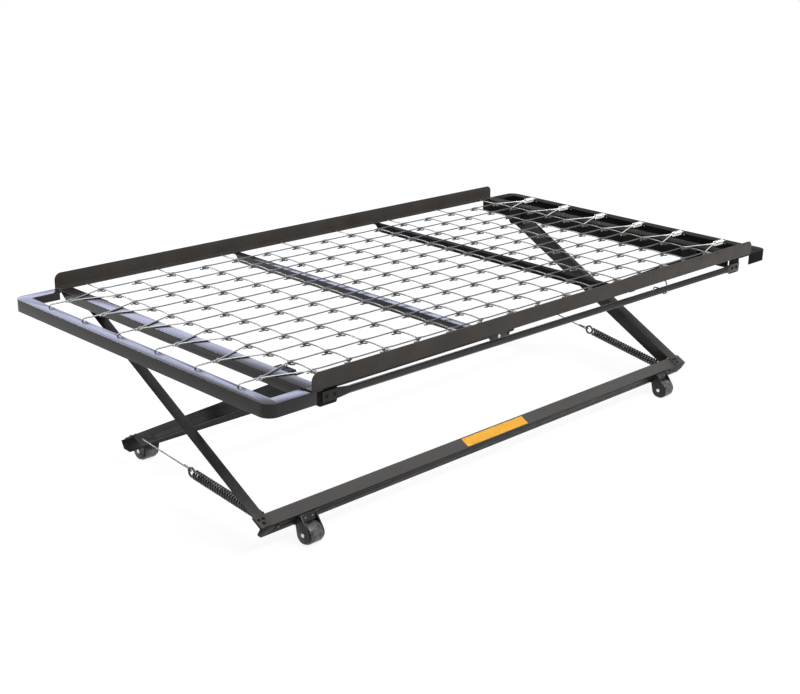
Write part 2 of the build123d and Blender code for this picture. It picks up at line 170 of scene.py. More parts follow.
def noise(tree, scale, detail=4.0, rough=0.55):
    coord = tree.nodes.new("ShaderNodeTexCoord")
    tex = tree.nodes.new("ShaderNodeTexNoise")
    tex.inputs["Scale"].default_value = scale
    tex.inputs["Detail"].default_value = detail
    tex.inputs["Roughness"].default_value = rough
    tree.links.new(coord.outputs["Object"], tex.inputs["Vector"])
    return tex.outputs["Fac"]


def ramp(tree, fac, low_at, low, high_at, high):
    node = tree.nodes.new("ShaderNodeValToRGB")
    for element, at, value in zip(node.color_ramp.elements, (low_at, high_at), (low, high)):
        element.position = at
        element.color = (*value, 1) if isinstance(value, tuple) else (value, value, value, 1)
    tree.links.new(fac, node.inputs["Fac"])
    return node.outputs["Color"]


def bump(tree, bsdf, fac, strength, distance):
    node = tree.nodes.new("ShaderNodeBump")
    node.inputs["Strength"].default_value = strength
    node.inputs["Distance"].default_value = distance
    tree.links.new(fac, node.inputs["Height"])
    tree.links.new(node.outputs["Normal"], bsdf.inputs["Normal"])


def upward(tree, fade=None):
    """Mask for painted light from above: 1 on faces that look up, 0 on upright ones; with fade, only below that
    height.
    """
    geometry = tree.nodes.new("ShaderNodeNewGeometry")
    split = tree.nodes.new("ShaderNodeSeparateXYZ")
    tree.links.new(geometry.outputs["Normal"], split.inputs[0])
    up = ramp(tree, split.outputs["Z"], 0.1, 0.0, 0.85, 1.0)
    if not fade:
        return up
    coord = tree.nodes.new("ShaderNodeTexCoord")
    place = tree.nodes.new("ShaderNodeSeparateXYZ")
    tree.links.new(coord.outputs["Object"], place.inputs[0])
    both = tree.nodes.new("ShaderNodeMath")
    both.operation = "MULTIPLY"
    tree.links.new(up, both.inputs[0])
    tree.links.new(ramp(tree, place.outputs["Z"], fade[0], 1.0, fade[1], 0.0), both.inputs[1])
    return both.outputs[0]


def enamel(name, low, high, rough_low, rough_high, spec, scuff_and_sheen=0.15, painted_top_light=None, fade=None):
    """Baked enamel on mill steel: dull and shiny patches, faint rubbed marks (on the legs, strong light
    blotches that paint mottled reflections), orange peel, and painted light from above: a lighter tone on faces
    that look up.
    """
    mat, tree, bsdf = material(name, low, rough_low, spec=spec)
    patches = ramp(tree, noise(tree, 14, 5, 0.6), 0.3, low, 0.72, high)
    # Light blotches where the noise is high: faint marks at small amounts, and painted mottled reflections at
    # the legs' large amount.
    scuffs_and_sheen = ramp(tree, noise(tree, 75, 6, 0.72), 0.66, 0.0, 0.80, scuff_and_sheen)
    mix = tree.nodes.new("ShaderNodeMix")
    mix.data_type = "RGBA"
    mix.inputs["B"].default_value = (*[min(1, 3 * c) for c in high], 1)
    tree.links.new(scuffs_and_sheen, mix.inputs["Factor"])
    tree.links.new(patches, mix.inputs["A"])
    tree.links.new(mix.outputs["Result"], bsdf.inputs["Base Color"])
    # Painted light: faces that look up are mixed towards a lighter colour, as if lit from above. With fade this
    # happens only near the floor, so higher up the piece stays dark as painted shade.
    if painted_top_light:
        top_light_mix = tree.nodes.new("ShaderNodeMix")
        top_light_mix.data_type = "RGBA"
        top_light_mix.inputs["B"].default_value = (*painted_top_light, 1)
        tree.links.new(upward(tree, fade), top_light_mix.inputs["Factor"])
        tree.links.new(mix.outputs["Result"], top_light_mix.inputs["A"])
        tree.links.new(top_light_mix.outputs["Result"], bsdf.inputs["Base Color"])
    worn = ramp(tree, noise(tree, 38, 4, 0.6), 0.3, rough_low, 0.75, rough_high)
    tree.links.new(worn, bsdf.inputs["Roughness"])
    bump(tree, bsdf, noise(tree, 900, 2, 0.5), 0.25, 0.00015)
    return mat


def zinc(name, low, high, rough):
    """Plated or bright drawn wire: blotchy tone and fine drawing marks."""
    mat, tree, bsdf = material(name, low, rough, metal=1.0)
    tone = ramp(tree, noise(tree, 28, 3, 0.5), 0.3, low, 0.7, high)
    tree.links.new(tone, bsdf.inputs["Base Color"])
    bump(tree, bsdf, noise(tree, 1500, 2, 0.5), 0.04, 0.00005)
    return mat


def tread_rubber():
    mat, tree, bsdf = material("tread", (0.1, 0.1, 0.1), 0.28, spec=0.4)
    tone = ramp(tree, noise(tree, 75, 4, 0.65), 0.36, (0.016, 0.016, 0.016),
                0.74, (0.17, 0.17, 0.165))
    tree.links.new(tone, bsdf.inputs["Base Color"])
    bump(tree, bsdf, noise(tree, 420, 3, 0.6), 0.2, 0.0003)
    return mat


def sticker_paper():
    mat, tree, bsdf = material("sticker_paper", (0.78, 0.42, 0.06), 0.5, spec=0.3)
    tone = ramp(tree, noise(tree, 60, 3, 0.5), 0.3, (0.80, 0.37, 0.03), 0.7, (0.88, 0.46, 0.05))
    tree.links.new(tone, bsdf.inputs["Base Color"])
    bump(tree, bsdf, noise(tree, 700, 2, 0.5), 0.15, 0.0001)
    return mat


DECK = enamel("deck_enamel", (0.010, 0.008, 0.0075), (0.014, 0.0115, 0.011), 0.20, 0.25, 0.30, 0.06)
# A copy of the deck enamel with its gloss almost taken away, for the right end: painted shade that keeps that
# end black where the left end shows reflections.
SHADED_DECK = enamel("shaded_deck_enamel", (0.011, 0.010, 0.010), (0.016, 0.015, 0.014), 0.36, 0.46, 0.008, 0.2)
RAIL = enamel("rail_enamel", (0.036, 0.031, 0.027), (0.050, 0.043, 0.038), 0.36, 0.5, 0.14)
# Legs: the large blotch amount, 0.4, paints mottled reflections.
# Legs: the last two arguments paint light on the up-facing faces of the foot only, so the upper leg stays dark
# as painted shade under the deck.
LEG = enamel("leg_enamel", (0.012, 0.011, 0.011), (0.034, 0.032, 0.030), 0.20, 0.36, 0.10, 0.4,
             (0.078, 0.073, 0.070), (0.07, 0.17))
# Rear low rail: the last colour paints light on the faces that look up.
REAR_RAIL = enamel("rear_rail_enamel", (0.010, 0.009, 0.009), (0.018, 0.017, 0.016), 0.34, 0.5, 0.05, 0.2,
                   (0.084, 0.079, 0.076))
# Front low rail: the last colour paints light on its top faces.
LOW_RAIL = enamel("low_rail_enamel", (0.012, 0.011, 0.011), (0.020, 0.019, 0.018), 0.34, 0.5, 0.06, 0.2,
                  (0.084, 0.079, 0.076))
FORK = enamel("fork_enamel", (0.010, 0.010, 0.010), (0.018, 0.018, 0.018), 0.25, 0.38, 0.3)
STRAP = enamel("strap_enamel", (0.009, 0.009, 0.009), (0.015, 0.014, 0.014), 0.34, 0.46, 0.04)
TUBE = enamel("tube_enamel", (0.012, 0.011, 0.011), (0.020, 0.019, 0.018), 0.26, 0.36, 0.22)
WIRE = zinc("link_wire", (0.10, 0.10, 0.10), (0.19, 0.19, 0.185), 0.38)
TIE = zinc("tie_wire", (0.20, 0.20, 0.195), (0.32, 0.32, 0.31), 0.42)
BRIGHT = zinc("spring_zinc", (0.66, 0.66, 0.64), (0.88, 0.88, 0.85), 0.26)
RIVET = zinc("rivet_zinc", (0.5, 0.5, 0.5), (0.78, 0.78, 0.78), 0.3)
PLATE_RIVET = zinc("plate_rivet", (0.10, 0.10, 0.10), (0.20, 0.20, 0.20), 0.34)
COIL = zinc("spring_wire", (0.038, 0.038, 0.040), (0.078, 0.078, 0.080), 0.24)
ROD = zinc("rod_wire", (0.13, 0.13, 0.13), (0.21, 0.21, 0.205), 0.40)
TREAD = tread_rubber()
STICKER = sticker_paper()


class Sweep:
    """Collects round wires in one mesh."""

    def __init__(self):
        self.verts, self.faces = [], []

    def wire(self, points, radius, sides=6):
        pts = [Vector(points[0])]
        for p in points[1:]:
            if (Vector(p) - pts[-1]).length > 1e-6:
                pts.append(Vector(p))
        ends = len(pts) - 1
        tangents = [(pts[min(i + 1, ends)] - pts[max(i - 1, 0)]).normalized() for i in range(ends + 1)]
        ref = Vector((0, 0, 1)) if abs(tangents[0].z) < 0.9 else Vector((1, 0, 0))
        normal = tangents[0].cross(ref).normalized()
        base = len(self.verts)
        for p, t in zip(pts, tangents):
            normal = (normal - t * normal.dot(t)).normalized()
            other = t.cross(normal)
            for k in range(sides):
                a = 2 * math.pi * k / sides
                self.verts.append(p + (normal * math.cos(a) + other * math.sin(a)) * radius)
        for i in range(ends):
            for k in range(sides):
                a, b = base + i * sides + k, base + i * sides + (k + 1) % sides
                self.faces.append((a, b, b + sides, a + sides))
        last = base + ends * sides
        self.faces.append(tuple(base + k for k in reversed(range(sides))))
        self.faces.append(tuple(last + k for k in range(sides)))

    def piece(self, name, mat, body):
        mesh = bpy.data.meshes.new(name)
        mesh.from_pydata([tuple(v) for v in self.verts], [], self.faces)
        return finish_piece(mesh, name, mat, body)


def finish_piece(mesh, name, mat, body):
    mesh.validate()
    obj = bpy.data.objects.new(name, mesh)
    scene.collection.objects.link(obj)
    mesh.materials.append(mat)
    mesh.shade_smooth()
    if body:
        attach(obj, body)
    return obj


def smooth_path(points, steps=6):
    """Catmull-Rom curve through the points."""
    pts = [Vector(p) for p in points]
    pts = [pts[0] * 2 - pts[1]] + pts + [pts[-1] * 2 - pts[-2]]
    out = []
    for i in range(1, len(pts) - 2):
        p0, p1, p2, p3 = pts[i - 1:i + 3]
        for k in range(steps):
            t = k / steps
            out.append(0.5 * (2 * p1 + (p2 - p0) * t + (2 * p0 - 5 * p1 + 4 * p2 - p3) * t * t
                              + (3 * p1 - p0 - 3 * p2 + p3) * t ** 3))
    out.append(pts[-2])
    return out


def helix(start, end, radius, turns, per_turn):
    start, end = Vector(start), Vector(end)
    axis = (end - start).normalized()
    u = axis.cross(Vector((0, 0, 1))).normalized()
    v = axis.cross(u)
    count = int(turns * per_turn)
    out = []
    for i in range(count + 1):
        a = 2 * math.pi * turns * i / count
        out.append(start.lerp(end, i / count) + u * (radius * math.cos(a)) + v * (radius * math.sin(a)))
    return out


def prism(outline, run):
    """A closed prism: its outline moved along run."""
    bm = bmesh.new()
    near = [bm.verts.new(p) for p in outline]
    far = [bm.verts.new(Vector(p) + Vector(run)) for p in outline]
    bm.faces.new(near)
    bm.faces.new(far)
    for i, vert in enumerate(near):
        j = (i + 1) % len(near)
        bm.faces.new((vert, near[j], far[j], far[i]))
    bmesh.ops.recalc_face_normals(bm, faces=bm.faces)
    mesh = bpy.data.meshes.new("prism")
    bm.to_mesh(mesh)
    bm.free()
    obj = bpy.data.objects.new("prism", mesh)
    scene.collection.objects.link(obj)
    return obj


def box(low, high):
    (x0, y0, z0), (x1, y1, z1) = low, high
    return prism([(x0, y0, z0), (x1, y0, z0), (x1, y1, z0), (x0, y1, z0)], (0, 0, z1 - z0))


def side_prism(frame_name, outline, x, thick):
    """A prism from an outline in a leg frame's side view."""
    return prism([side(frame_name, s, n, x) for s, n in outline], (thick, 0, 0))


def arc(centre, radius, start, end, count=14):
    """Points round an arc in a side view, angles in degrees."""
    out = []
    for i in range(count + 1):
        a = math.radians(start + (end - start) * i / count)
        out.append((centre[0] + radius * math.cos(a), centre[1] + radius * math.sin(a)))
    return out


def evaluated(obj):
    """The object's mesh with its modifiers applied."""
    return bpy.data.meshes.new_from_object(obj.evaluated_get(bpy.context.evaluated_depsgraph_get()))


def rounded(mesh, name, mat, width, segments, body, replaced):
    """Rounds a steel piece's edges, gives it its enamel and sets it on its body."""
    bm = bmesh.new()
    bm.from_mesh(mesh)
    bmesh.ops.remove_doubles(bm, verts=bm.verts, dist=1e-6)
    bmesh.ops.dissolve_limit(bm, angle_limit=math.radians(1.0), verts=bm.verts, edges=bm.edges)
    bm.to_mesh(mesh)
    bm.free()
    obj = bpy.data.objects.new("v_" + name, mesh)
    scene.collection.objects.link(obj)
    mod = obj.modifiers.new("round", "BEVEL")
    mod.width = width
    mod.segments = segments
    mod.limit_method = "ANGLE"
    mod.angle_limit = math.radians(35)
    done = evaluated(obj)
    obj.modifiers.clear()
    obj.data = done
    done.materials.clear()
    done.materials.append(mat)
    done.shade_smooth()
    done.set_sharp_from_angle(angle=math.radians(40))
    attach(obj, body)
    if replaced:
        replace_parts(obj, replaced)
    return obj


def from_cad(name, mat, width=0.0011, segments=3):
    """The CAD piece with its bent and cut edges rounded."""
    source = nodes[name]
    mesh = source.data.copy()
    mesh.transform(source.matrix_world)
    return rounded(mesh, name, mat, width, segments, body_of(source)[0], name)


def fused(name, solids, mat, width=0.0011, segments=3, body="deck", replaced=None):
    """One steel piece from overlapping solids."""
    base = solids[0]
    for other in solids[1:]:
        mod = base.modifiers.new("join", "BOOLEAN")
        mod.operation = "UNION"
        mod.solver = "EXACT"
        mod.object = other
    mesh = evaluated(base)
    for solid in solids:
        bpy.data.objects.remove(solid)
    return rounded(mesh, name, mat, width, segments, body, replaced)


def rivet(store, centre, axis, radius, height, sides=20, rings=5):
    """Adds a low domed head to a list of verts and faces."""
    verts, faces = store
    axis = Vector(axis).normalized()
    ref = Vector((1, 0, 0)) if abs(axis.x) < 0.9 else Vector((0, 1, 0))
    u = axis.cross(ref).normalized()
    v = axis.cross(u)
    base = len(verts)
    profile = [(radius, 0.0), (radius * 0.985, height * 0.35)]
    for i in range(1, rings):
        a = math.pi / 2 * i / rings
        profile.append((radius * math.cos(a) * 0.97, height * (0.35 + 0.65 * math.sin(a))))
    for r, h in profile:
        for k in range(sides):
            a = 2 * math.pi * k / sides
            verts.append(Vector(centre) + u * (r * math.cos(a)) + v * (r * math.sin(a)) + axis * h)
    verts.append(Vector(centre) + axis * height)
    tip = len(verts) - 1
    last = base + (len(profile) - 1) * sides
    for k in range(sides):
        for i in range(len(profile) - 1):
            a, b = base + i * sides + k, base + i * sides + (k + 1) % sides
            faces.append((a, b, b + sides, a + sides))
        faces.append((last + k, last + (k + 1) % sides, tip))
    faces.append(tuple(base + k for k in reversed(range(sides))))


def rivets(name, mat, body, spots):
    store = ([], [])
    for centre, axis, radius, height in spots:
        rivet(store, centre, axis, radius, height)
    mesh = bpy.data.meshes.new(name)
    mesh.from_pydata([tuple(v) for v in store[0]], [], store[1])
    return finish_piece(mesh, name, mat, body)


def deck_steel():
    """End angles, rails, brackets, straps and stay tube, rounded from the solids."""
    from_cad("end_angle_left", DECK, 0.0013)
    # The right end angle takes the dulled copy of the deck enamel, as painted shade.
    from_cad("end_angle_right", SHADED_DECK, 0.0013)
    for name in ("front_side_rail", "back_side_rail"):
        from_cad(name, RAIL)
    for name in nodes:
        if "strap" in name or "bracket" in name:
            from_cad(name, STRAP, 0.0008, 2)
    from_cad("stay_tube", TUBE, 0.0006, 2)


def cross_angles():
    """Angles across the ends; both hang their flange on the side towards the left end."""
    reach, web_reach = 0.467, 0.456
    top = TOP + STEEL
    for name, low, web, drop in (("left", -0.832, -0.832, 0.021), ("right", 0.794, 0.7905, 0.037)):
        flange = box((low, -reach, TOP), (low + CROSS_FLANGE, reach, top))
        outline = [(web, -web_reach, top), (web, web_reach, top),
                   (web, web_reach, TOP - 0.004), (web, web_reach - drop, TOP - drop),
                   (web, drop - web_reach, TOP - drop), (web, -web_reach, TOP - 0.004)]
        if name == "right":
            back = 0.484
            outline = [(web, -web_reach, top), (web, reach, top), (web, back, TOP),
                       (web, back, TOP - drop), (web, -web_reach, TOP - drop)]
        hanging = prism(outline, (STEEL + (0.0006 if name == "right" else 0), 0, 0))
        # The right angle takes the dulled copy of the deck enamel, as painted shade.
        fused(f"cross_{name}", [flange, hanging], DECK if name == "left" else SHADED_DECK,
              replaced=f"cross_angle_{name}")


def middle_crosses():
    """Small cross angles; only the left one has a hanging plate at its front end."""
    for name, web in (("left", -0.272), ("right", 0.272)):
        reach, web_reach, drop = 0.487, 0.468, 0.022
        flange = box((web, -reach, TOP - STEEL), (web + 0.022, reach, TOP))
        hanging = prism([(web, -web_reach, TOP), (web, web_reach, TOP),
                         (web, web_reach - drop, TOP - drop),
                         (web, drop - web_reach, TOP - drop)], (STEEL, 0, 0))
        solids = [flange, hanging]
        if name == "left":
            solids.append(prism([(web - 0.015, -reach, TOP), (web + 0.060, -reach, TOP),
                                 (web + 0.046, -reach, TOP - 0.016), (web, -reach, TOP - 0.016)],
                                (0, STEEL, 0)))
        # The right cross takes the dulled copy of the deck enamel, as painted shade.
        fused(f"middle_{name}", solids, DECK if name == "left" else SHADED_DECK,
              replaced=f"middle_cross_{name}")
    rivets("plate_rivet", RIVET, "deck", [((-0.246, -0.487, TOP - 0.008), (0, -1, 0), *CROSS_PLATE_HEAD)])
    spots = []
    for end, hand, drop in ((-0.794, 1, 0.023), (0.811, -1, 0.030)):
        for along in (0.012, 0.034):
            spots.append(((end + hand * along, -0.482, TOP - drop), (0, -1, 0), *BRACKET_HEAD))
    rivets("bracket_rivets", STRAP, "deck", spots)


def front_legs():
    """The front frame's angle legs, their webs running down to the low rail."""
    foot, corner = 0.0365, 0.014
    web = [(foot, 0), (foot, -0.028), (foot + 0.006, -LEG_WEB_DOWN)]
    web += arc((LEG_END - corner, corner - LEG_WEB_DOWN), corner, -90, 0, 8) + [(LEG_END, 0)]
    for name, x, hand, width in (("left", -LEG_X, -1, 0.0295), ("right", LEG_X, 1, 0.0375)):
        flange = [(0, 0), (LEG_END, 0), (LEG_END, STEEL), (0, STEEL)]
        solids = [side_prism("front", flange, x, hand * width),
                  side_prism("front", web + [(LEG_END, 0.001), (foot, 0.001)], x, hand * STEEL)]
        fused(f"front_leg_{name}", solids, LEG, body="front_legs", replaced=f"front_leg_{name}")


def leg_frames():
    front_legs()
    for name in ("rear_leg_left", "rear_leg_right"):
        from_cad(name, LEG)
    from_cad("front_low_rail", LOW_RAIL)
    from_cad("rear_low_rail", REAR_RAIL)


def lathe(name, profile, centre, mat, body, segments=64):
    """A ring turned round an axis along X from a closed profile of (x, radius)."""
    verts, faces = [], []
    rim = len(profile)
    for i in range(segments):
        a = 2 * math.pi * i / segments
        for x, r in profile:
            verts.append((centre.x + x, centre.y + r * math.cos(a), centre.z + r * math.sin(a)))
    for i in range(segments):
        for k in range(rim):
            a, b = i * rim + k, i * rim + (k + 1) % rim
            c, d = (i + 1) % segments * rim + (k + 1) % rim, (i + 1) % segments * rim + k
            faces.append((a, d, c, b))
    mesh = bpy.data.meshes.new(name)
    mesh.from_pydata(verts, [], faces)
    obj = finish_piece(mesh, name, mat, body)
    mesh.set_sharp_from_angle(angle=math.radians(50))
    return obj


def wheel(frame_name, hand):
    """A wide roller with rounded shoulders, dished faces and a boss round the axle."""
    half, bore, boss = WHEEL_HALF - 0.0005, 0.0036, 0.0088
    face = [(half, bore), (half, boss), (0.0150, boss + 0.001), (0.0145, 0.0190), (half, 0.0203),
            (WHEEL_HALF, 0.0212), (WHEEL_HALF, 0.0222), (0.0183, 0.0238), (0.0168, 0.0248),
            (0.0150, WHEEL_R)]
    profile = face + [(0.0, WHEEL_R)] + [(-x, r) for x, r in reversed(face)]
    hub = side(frame_name, HUB_S, HUB_N, CASTER_X[hand])
    name = f"{frame_name}_{hand}_wheel"
    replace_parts(lathe("v_" + name, profile, hub, TREAD, name), f"{frame_name}_wheel_{hand}")


def fork(frame_name, hand):
    """Plate on the low rail, a hood over the wheel, two lobed cheeks and the axle."""
    middle = CASTER_X[hand]
    hub = (HUB_S, HUB_N)
    cheek = [(-0.001, -0.003), (-0.004, -0.003)] + arc(hub, CHEEK_R, 114, 324) + [(-0.001, -PLATE_DOWN)]
    plate = [(-STEEL, -0.003), (0.0, -0.003), (0.0, -PLATE_DOWN), (-STEEL, -PLATE_DOWN)]
    hood = [(-0.001, -0.003), (-0.004, -0.003), (-0.0165, -0.0168)]
    hood += arc(hub, HOOD_IN_R, 52, -8) + arc(hub, HOOD_OUT_R, -8, 46) + [(-0.001, -0.0085)]
    solids = [side_prism(frame_name, plate, middle - PLATE_HALF, 2 * PLATE_HALF),
              side_prism(frame_name, hood, middle - CHEEK_IN - 0.0005, 2 * CHEEK_IN + 0.001)]
    for face in (-1, 1):
        solids.append(side_prism(frame_name, cheek, middle + face * CHEEK_IN,
                                 face * (CHEEK_OUT - CHEEK_IN)))
    solids.append(side_prism(frame_name, arc(hub, AXLE_R, 0, 345, 23), middle - CHEEK_IN - 0.001,
                             2 * (CHEEK_IN + 0.001)))
    name = f"{frame_name}_caster_fork_{hand}"
    fused(name, solids, FORK, 0.0006, 2, f"{frame_name}_legs", name)


def casters():
    for frame_name in ("front", "rear"):
        body = f"{frame_name}_legs"
        plates, heads = [], []
        for hand, x in CASTER_X.items():
            fork(frame_name, hand)
            wheel(frame_name, hand)
            for dx in (-0.011, 0.011):
                spot = side(frame_name, -0.0098, -0.0094, x + dx)
                plates.append((spot, side_dir(frame_name, -0.74, 0.67), *CASTER_PLATE_HEAD))
            for face in (-1, 1):
                spot = side(frame_name, HUB_S, HUB_N, x + face * CHEEK_OUT)
                heads.append((spot, (face, 0, 0), *AXLE_HEAD))
        rivets(f"{frame_name}_plate_rivets", PLATE_RIVET, body, plates)
        rivets(f"{frame_name}_axle_heads", RIVET, body, heads)


def foot_rivets():
    for frame_name, at in (("front", 0.811), ("rear", 0.745)):
        spots = []
        for hand in (-1, 1):
            for s, dx in ((0.010, 0.0), (0.022, -0.0065), (0.022, 0.0065)):
                spots.append((side(frame_name, s, STEEL, hand * at + dx), side_dir(frame_name, 0, 1),
                              *RIVET_HEAD))
        rivets(f"{frame_name}_foot_rivets", STRAP, f"{frame_name}_legs", spots)


def sticker():
    """Plain yellow sticker on the front low rail's back, with no lettering."""
    x0, x1, s0, s1, lift, corner = -0.139, 0.100, 0.003, 0.031, 0.00025, 0.002
    outline = []
    for cx, cs, start in ((x1, s0, -90), (x1, s1, 0), (x0, s1, 90), (x0, s0, 180)):
        inner_x = cx - corner if cx == x1 else cx + corner
        inner_s = cs - corner if cs == s1 else cs + corner
        bend = arc((inner_x, inner_s), corner, start, start + 90, 4)
        outline += [side("front", s, 0, x) for x, s in bend]
    label = prism(outline, OUT * lift)
    label.name = "sticker"
    label.data.materials.append(STICKER)
    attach(label, "front_legs")


def long_link(a, b, y):
    """One lengthwise link: a straight run, hooked round the cross wires at both ends."""
    z, ya, yb = NET_Z, y + 0.0020, y - 0.0020
    shape = [
        (a + 0.0150, ya + 0.0025, z - 0.0034), (a + 0.0060, ya + 0.0030, z - 0.0050),
        (a - 0.0012, ya + 0.0010, z - 0.0038), (a - 0.0022, ya, z - 0.0006),
        (a + 0.0040, ya, z + 0.0013), (a + 0.0140, y + 0.001, z + 0.0004),
        (a + 0.036, y, z), (b - 0.036, y, z),
        (b - 0.0140, y - 0.001, z + 0.0004), (b - 0.0040, yb, z + 0.0013),
        (b + 0.0022, yb, z - 0.0006), (b + 0.0012, yb - 0.0010, z - 0.0038),
        (b - 0.0060, yb - 0.0030, z - 0.0050), (b - 0.0150, yb - 0.0025, z - 0.0034),
    ]
    return smooth_path(shape, 2)


def cross_link(a, b, x):
    """One cross link: bowed, with a curled hook round the lengthwise wires at both ends."""
    z, xa, xb = NET_Z, x + 0.0016, x - 0.0016
    shape = [
        (xa + 0.0060, a + 0.0120, z - 0.0030), (xa + 0.0045, a + 0.0040, z - 0.0052),
        (xa, a - 0.0020, z - 0.0036), (xa, a - 0.0018, z - 0.0006),
        (xa, a + 0.004, z + 0.0010), (x + 0.003, a + 0.016, z + 0.0014),
        (x + 0.005, (a + b) / 2, z + 0.0016),
        (x + 0.004, b - 0.016, z + 0.0014), (xb + 0.001, b - 0.004, z + 0.0010),
        (xb, b + 0.0018, z - 0.0006), (xb, b + 0.0020, z - 0.0036),
        (xb + 0.0045, b - 0.004, z - 0.0052), (xb + 0.0075, b - 0.0135, z - 0.0032),
    ]
    return smooth_path(shape, 2)


def link_wires():
    long_links, cross_links = Sweep(), Sweep()
    for y in LONG_Y:
        for a, b in zip(CROSS_X, CROSS_X[1:]):
            long_links.wire(long_link(a, b, y), LINK_R)
    for x in CROSS_X:
        for a, b in zip(LONG_Y, LONG_Y[1:]):
            cross_links.wire(cross_link(a, b, x), LINK_R)
    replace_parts(long_links.piece("long_links", WIRE, "deck"), "link_wires")
    cross_links.piece("cross_links", WIRE, "deck")


def v_wires(sweep, y, hand_x, knot_x, apex):
    """The two wires that spread from a tie to its pair of lengthwise wires."""
    for hand in (-1, 1):
        knot = Vector((knot_x, y + hand * LONG_PITCH / 2, NET_Z))
        out = (knot - apex).normalized()
        tail = apex - out * 0.016
        hook = [tail + Vector((0, 0, -0.001)), apex + Vector((0, 0, 0.0012 * hand)), apex + out * 0.02,
                knot - out * 0.018, knot - out * 0.002 + Vector((0, 0, 0.001)),
                knot + Vector((hand_x * -0.0020, 0, -0.002)), knot - out * 0.010 + Vector((0, 0, -0.0046))]
        sweep.wire(smooth_path(hook, 3), TIE_R)


def left_ties():
    ties = Sweep()
    for y in TIE_Y:
        apex = Vector((-APEX_X, y, NET_Z + 0.0005))
        hole = Vector((-END_X + TIE_HOLE_IN, y, TOP))
        path = [hole + Vector((-0.004, 0, -0.0050)), hole + Vector((-0.0005, 0, -0.0052)),
                hole + Vector((0, 0, -0.001)), hole + Vector((0.0006, 0, 0.0032)),
                hole + Vector((0.006, 0, 0.0053)), hole + Vector((0.03, 0, 0.0051)),
                apex + Vector((-0.004, 0.0015, 0)), apex + Vector((0.003, 0.003, 0.0018)),
                apex + Vector((0.005, 0, 0.0005)), apex + Vector((0.002, -0.003, -0.0022)),
                apex + Vector((-0.008, -0.004, -0.0028))]
        ties.wire(smooth_path(path, 4), TIE_R)
        v_wires(ties, y, -1, CROSS_X[0], apex)
    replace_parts(ties.piece("left_ties", TIE, "deck"), "left_end_ties")


def right_springs():
    """Little springs from the right end angle's holes to the spreading wires."""
    springs = Sweep()
    radius, wire = 0.0058, 0.0015
    for y in TIE_Y:
        apex = Vector((APEX_X - 0.004, y, NET_Z + 0.0005))
        hole = Vector((END_X - TIE_HOLE_IN, y, TOP))
        near, far = Vector((0.863, y, NET_Z)), Vector((0.902, y, NET_Z))
        springs.wire(helix(near, far, radius, SMALL_TURNS, 12), wire)
        springs.wire(smooth_path([
            far + Vector((-0.001, radius, 0)), far + Vector((0.003, 0.002, 0.001)),
            far + Vector((0.010, 0, 0.0006)), hole + Vector((-0.004, 0, 0.0048)),
            hole + Vector((-0.0004, 0, 0.002)), hole + Vector((0, 0, -0.002)),
            hole + Vector((0.001, 0, -0.0052)), hole + Vector((0.0045, 0, -0.005))], 4), wire)
        springs.wire(smooth_path([
            near + Vector((0.001, radius, 0)), near + Vector((-0.003, 0.003, 0.001)),
            apex + Vector((-0.003, 0, 0.0005)), near + Vector((-0.003, -0.0035, -0.0015)),
            near + Vector((0.001, -radius, -0.001))], 4), wire)
        v_wires(springs, y, 1, CROSS_X[-1], apex)
    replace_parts(springs.piece("right_ties", BRIGHT, "deck"), "right_end_springs")


def front_springs():
    """Little springs from the front rail's flange to every second cross wire."""
    springs = Sweep()
    radius, wire = 0.0037, 0.00105
    rail_y = RAIL_HOLE_IN - SIDE_Y
    for x in CROSS_X[::2]:
        knot = Vector((x, LONG_Y[0], NET_Z))
        near, far = Vector((x, -0.407, NET_Z)), Vector((x, -0.441, NET_Z))
        springs.wire(helix(near, far, radius, SMALL_TURNS, 10), wire)
        springs.wire(smooth_path([
            far + Vector((radius, 0.001, 0)), far + Vector((0.001, -0.004, 0.001)),
            (x, rail_y + 0.008, NET_Z + 0.0006), (x, rail_y + 0.001, NET_Z + 0.0005),
            (x, rail_y - 0.004, NET_Z)], 4), TIE_R)
        springs.wire(smooth_path([
            near + Vector((radius, -0.001, 0)), near + Vector((0.001, 0.003, 0.001)),
            knot + Vector((0, -0.001, 0.0014)), knot + Vector((0, 0.003, -0.001)),
            knot + Vector((0, -0.003, -0.0046))], 4), TIE_R)
    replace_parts(springs.piece("front_ties", TIE, "deck"), "front_side_springs")


def back_hooks():
    hooks = Sweep()
    rail_y = SIDE_Y - RAIL_HOLE_IN
    for x in CROSS_X[::2]:
        knot = Vector((x, LONG_Y[-1], NET_Z))
        hooks.wire(smooth_path([
            (x, rail_y + 0.0045, NET_Z), (x, rail_y, NET_Z + 0.0008), (x, rail_y - 0.012, NET_Z + 0.0008),
            (x, knot.y + 0.014, NET_Z + 0.0006), knot + Vector((0, 0.001, 0.0014)),
            knot + Vector((0, -0.003, -0.001)), knot + Vector((0, 0.003, -0.0046))], 4), BACK_HOOK_R)
    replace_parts(hooks.piece("back_ties", TIE, "deck"), "back_side_hooks")


def tube_hook():
    """Small curved wire hook between the front rail and the stay tube."""
    hook = Sweep()
    y = 0.0105 - SIDE_Y
    shape = [(0.384, -0.028), (0.389, -0.017), (0.396, -0.014), (0.412, -0.020), (0.424, -0.034),
             (0.436, -0.037), (0.447, -0.029), (0.450, -0.016), (0.444, -0.006), (0.436, 0.0005)]
    hook.wire(smooth_path([(x, y - 0.0075 * (z < -0.025), TOP + z) for x, z in shape], 4),
              TUBE_HOOK_R)
    hook.piece("tube_hook", WIRE, "deck")


def spring_axis(hand, sign):
    """Where the points along a tension spring lie: at(d, up, off), its two directions and length."""
    x = sign * SPRING_X
    anchor = side("front", 0.0015, -0.014, x)
    hole = side("rear", HOOK_S[hand], -0.020, x)
    along = (hole - anchor).normalized()
    across = Vector((1, 0, 0)).cross(along)
    inward = Vector((-sign, 0, 0))

    def at(d, up=0.0, off=0.0):
        return anchor + along * d + across * up + inward * off

    return at, along, across, (hole - anchor).length


